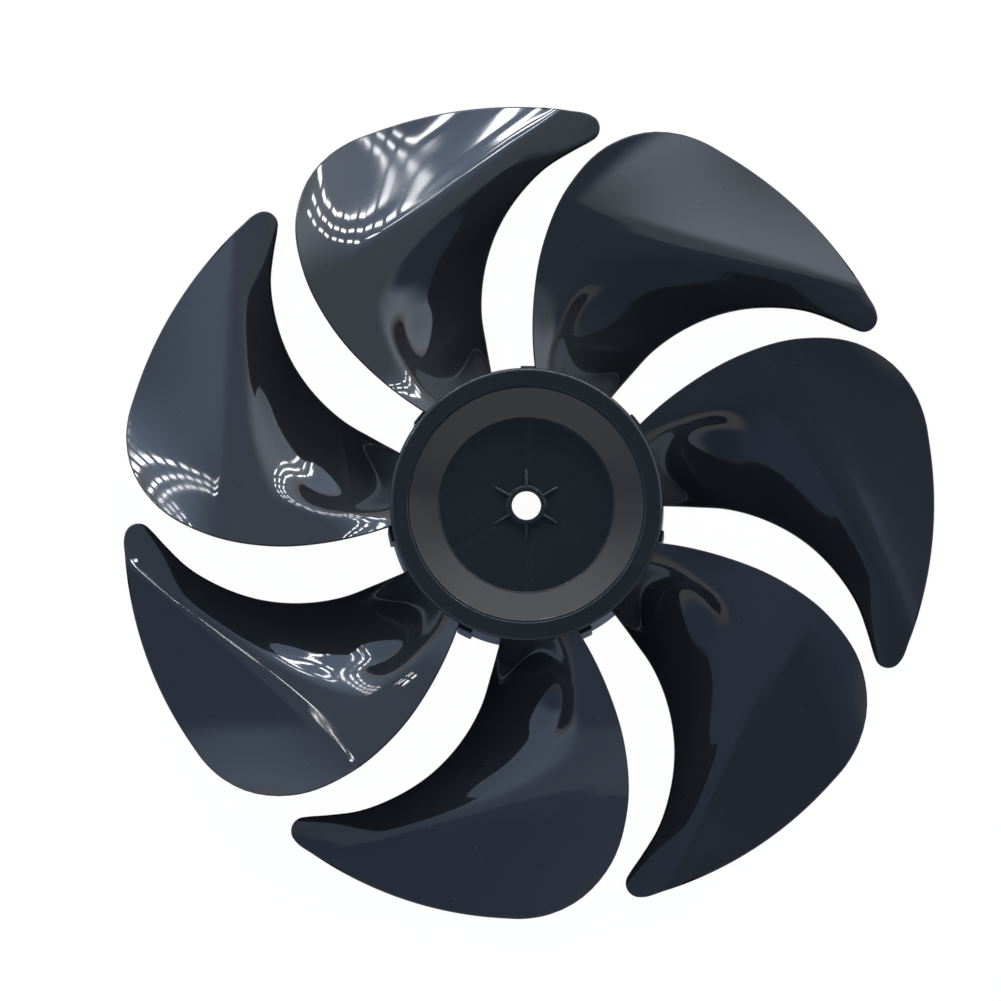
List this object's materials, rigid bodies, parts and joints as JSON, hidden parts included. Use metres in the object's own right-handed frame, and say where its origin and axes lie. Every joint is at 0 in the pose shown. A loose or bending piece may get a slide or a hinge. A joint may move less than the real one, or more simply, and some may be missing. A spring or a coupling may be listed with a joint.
{
  "type": "axial fan impeller",
  "caption": "One-piece axial fan impeller with swept, creased blades around a dished hub with a plain shaft bore, for a ventilation or refrigeration fan motor.",
  "frame": {"origin": "on the shaft axis, in the plane of the hub's rear rim, on which the impeller rests", "axes": "+Z along the shaft axis towards the discharge side, where the dished face of the hub is; the first blade's crest faces half a blade pitch round from +X"},
  "size_m": [0.2284, 0.2294, 0.0335],
  "materials": {
    "impeller": "glossy"
  },
  "bodies": {
    "root": {"impeller": "impeller"}
  },
  "joints": []
}
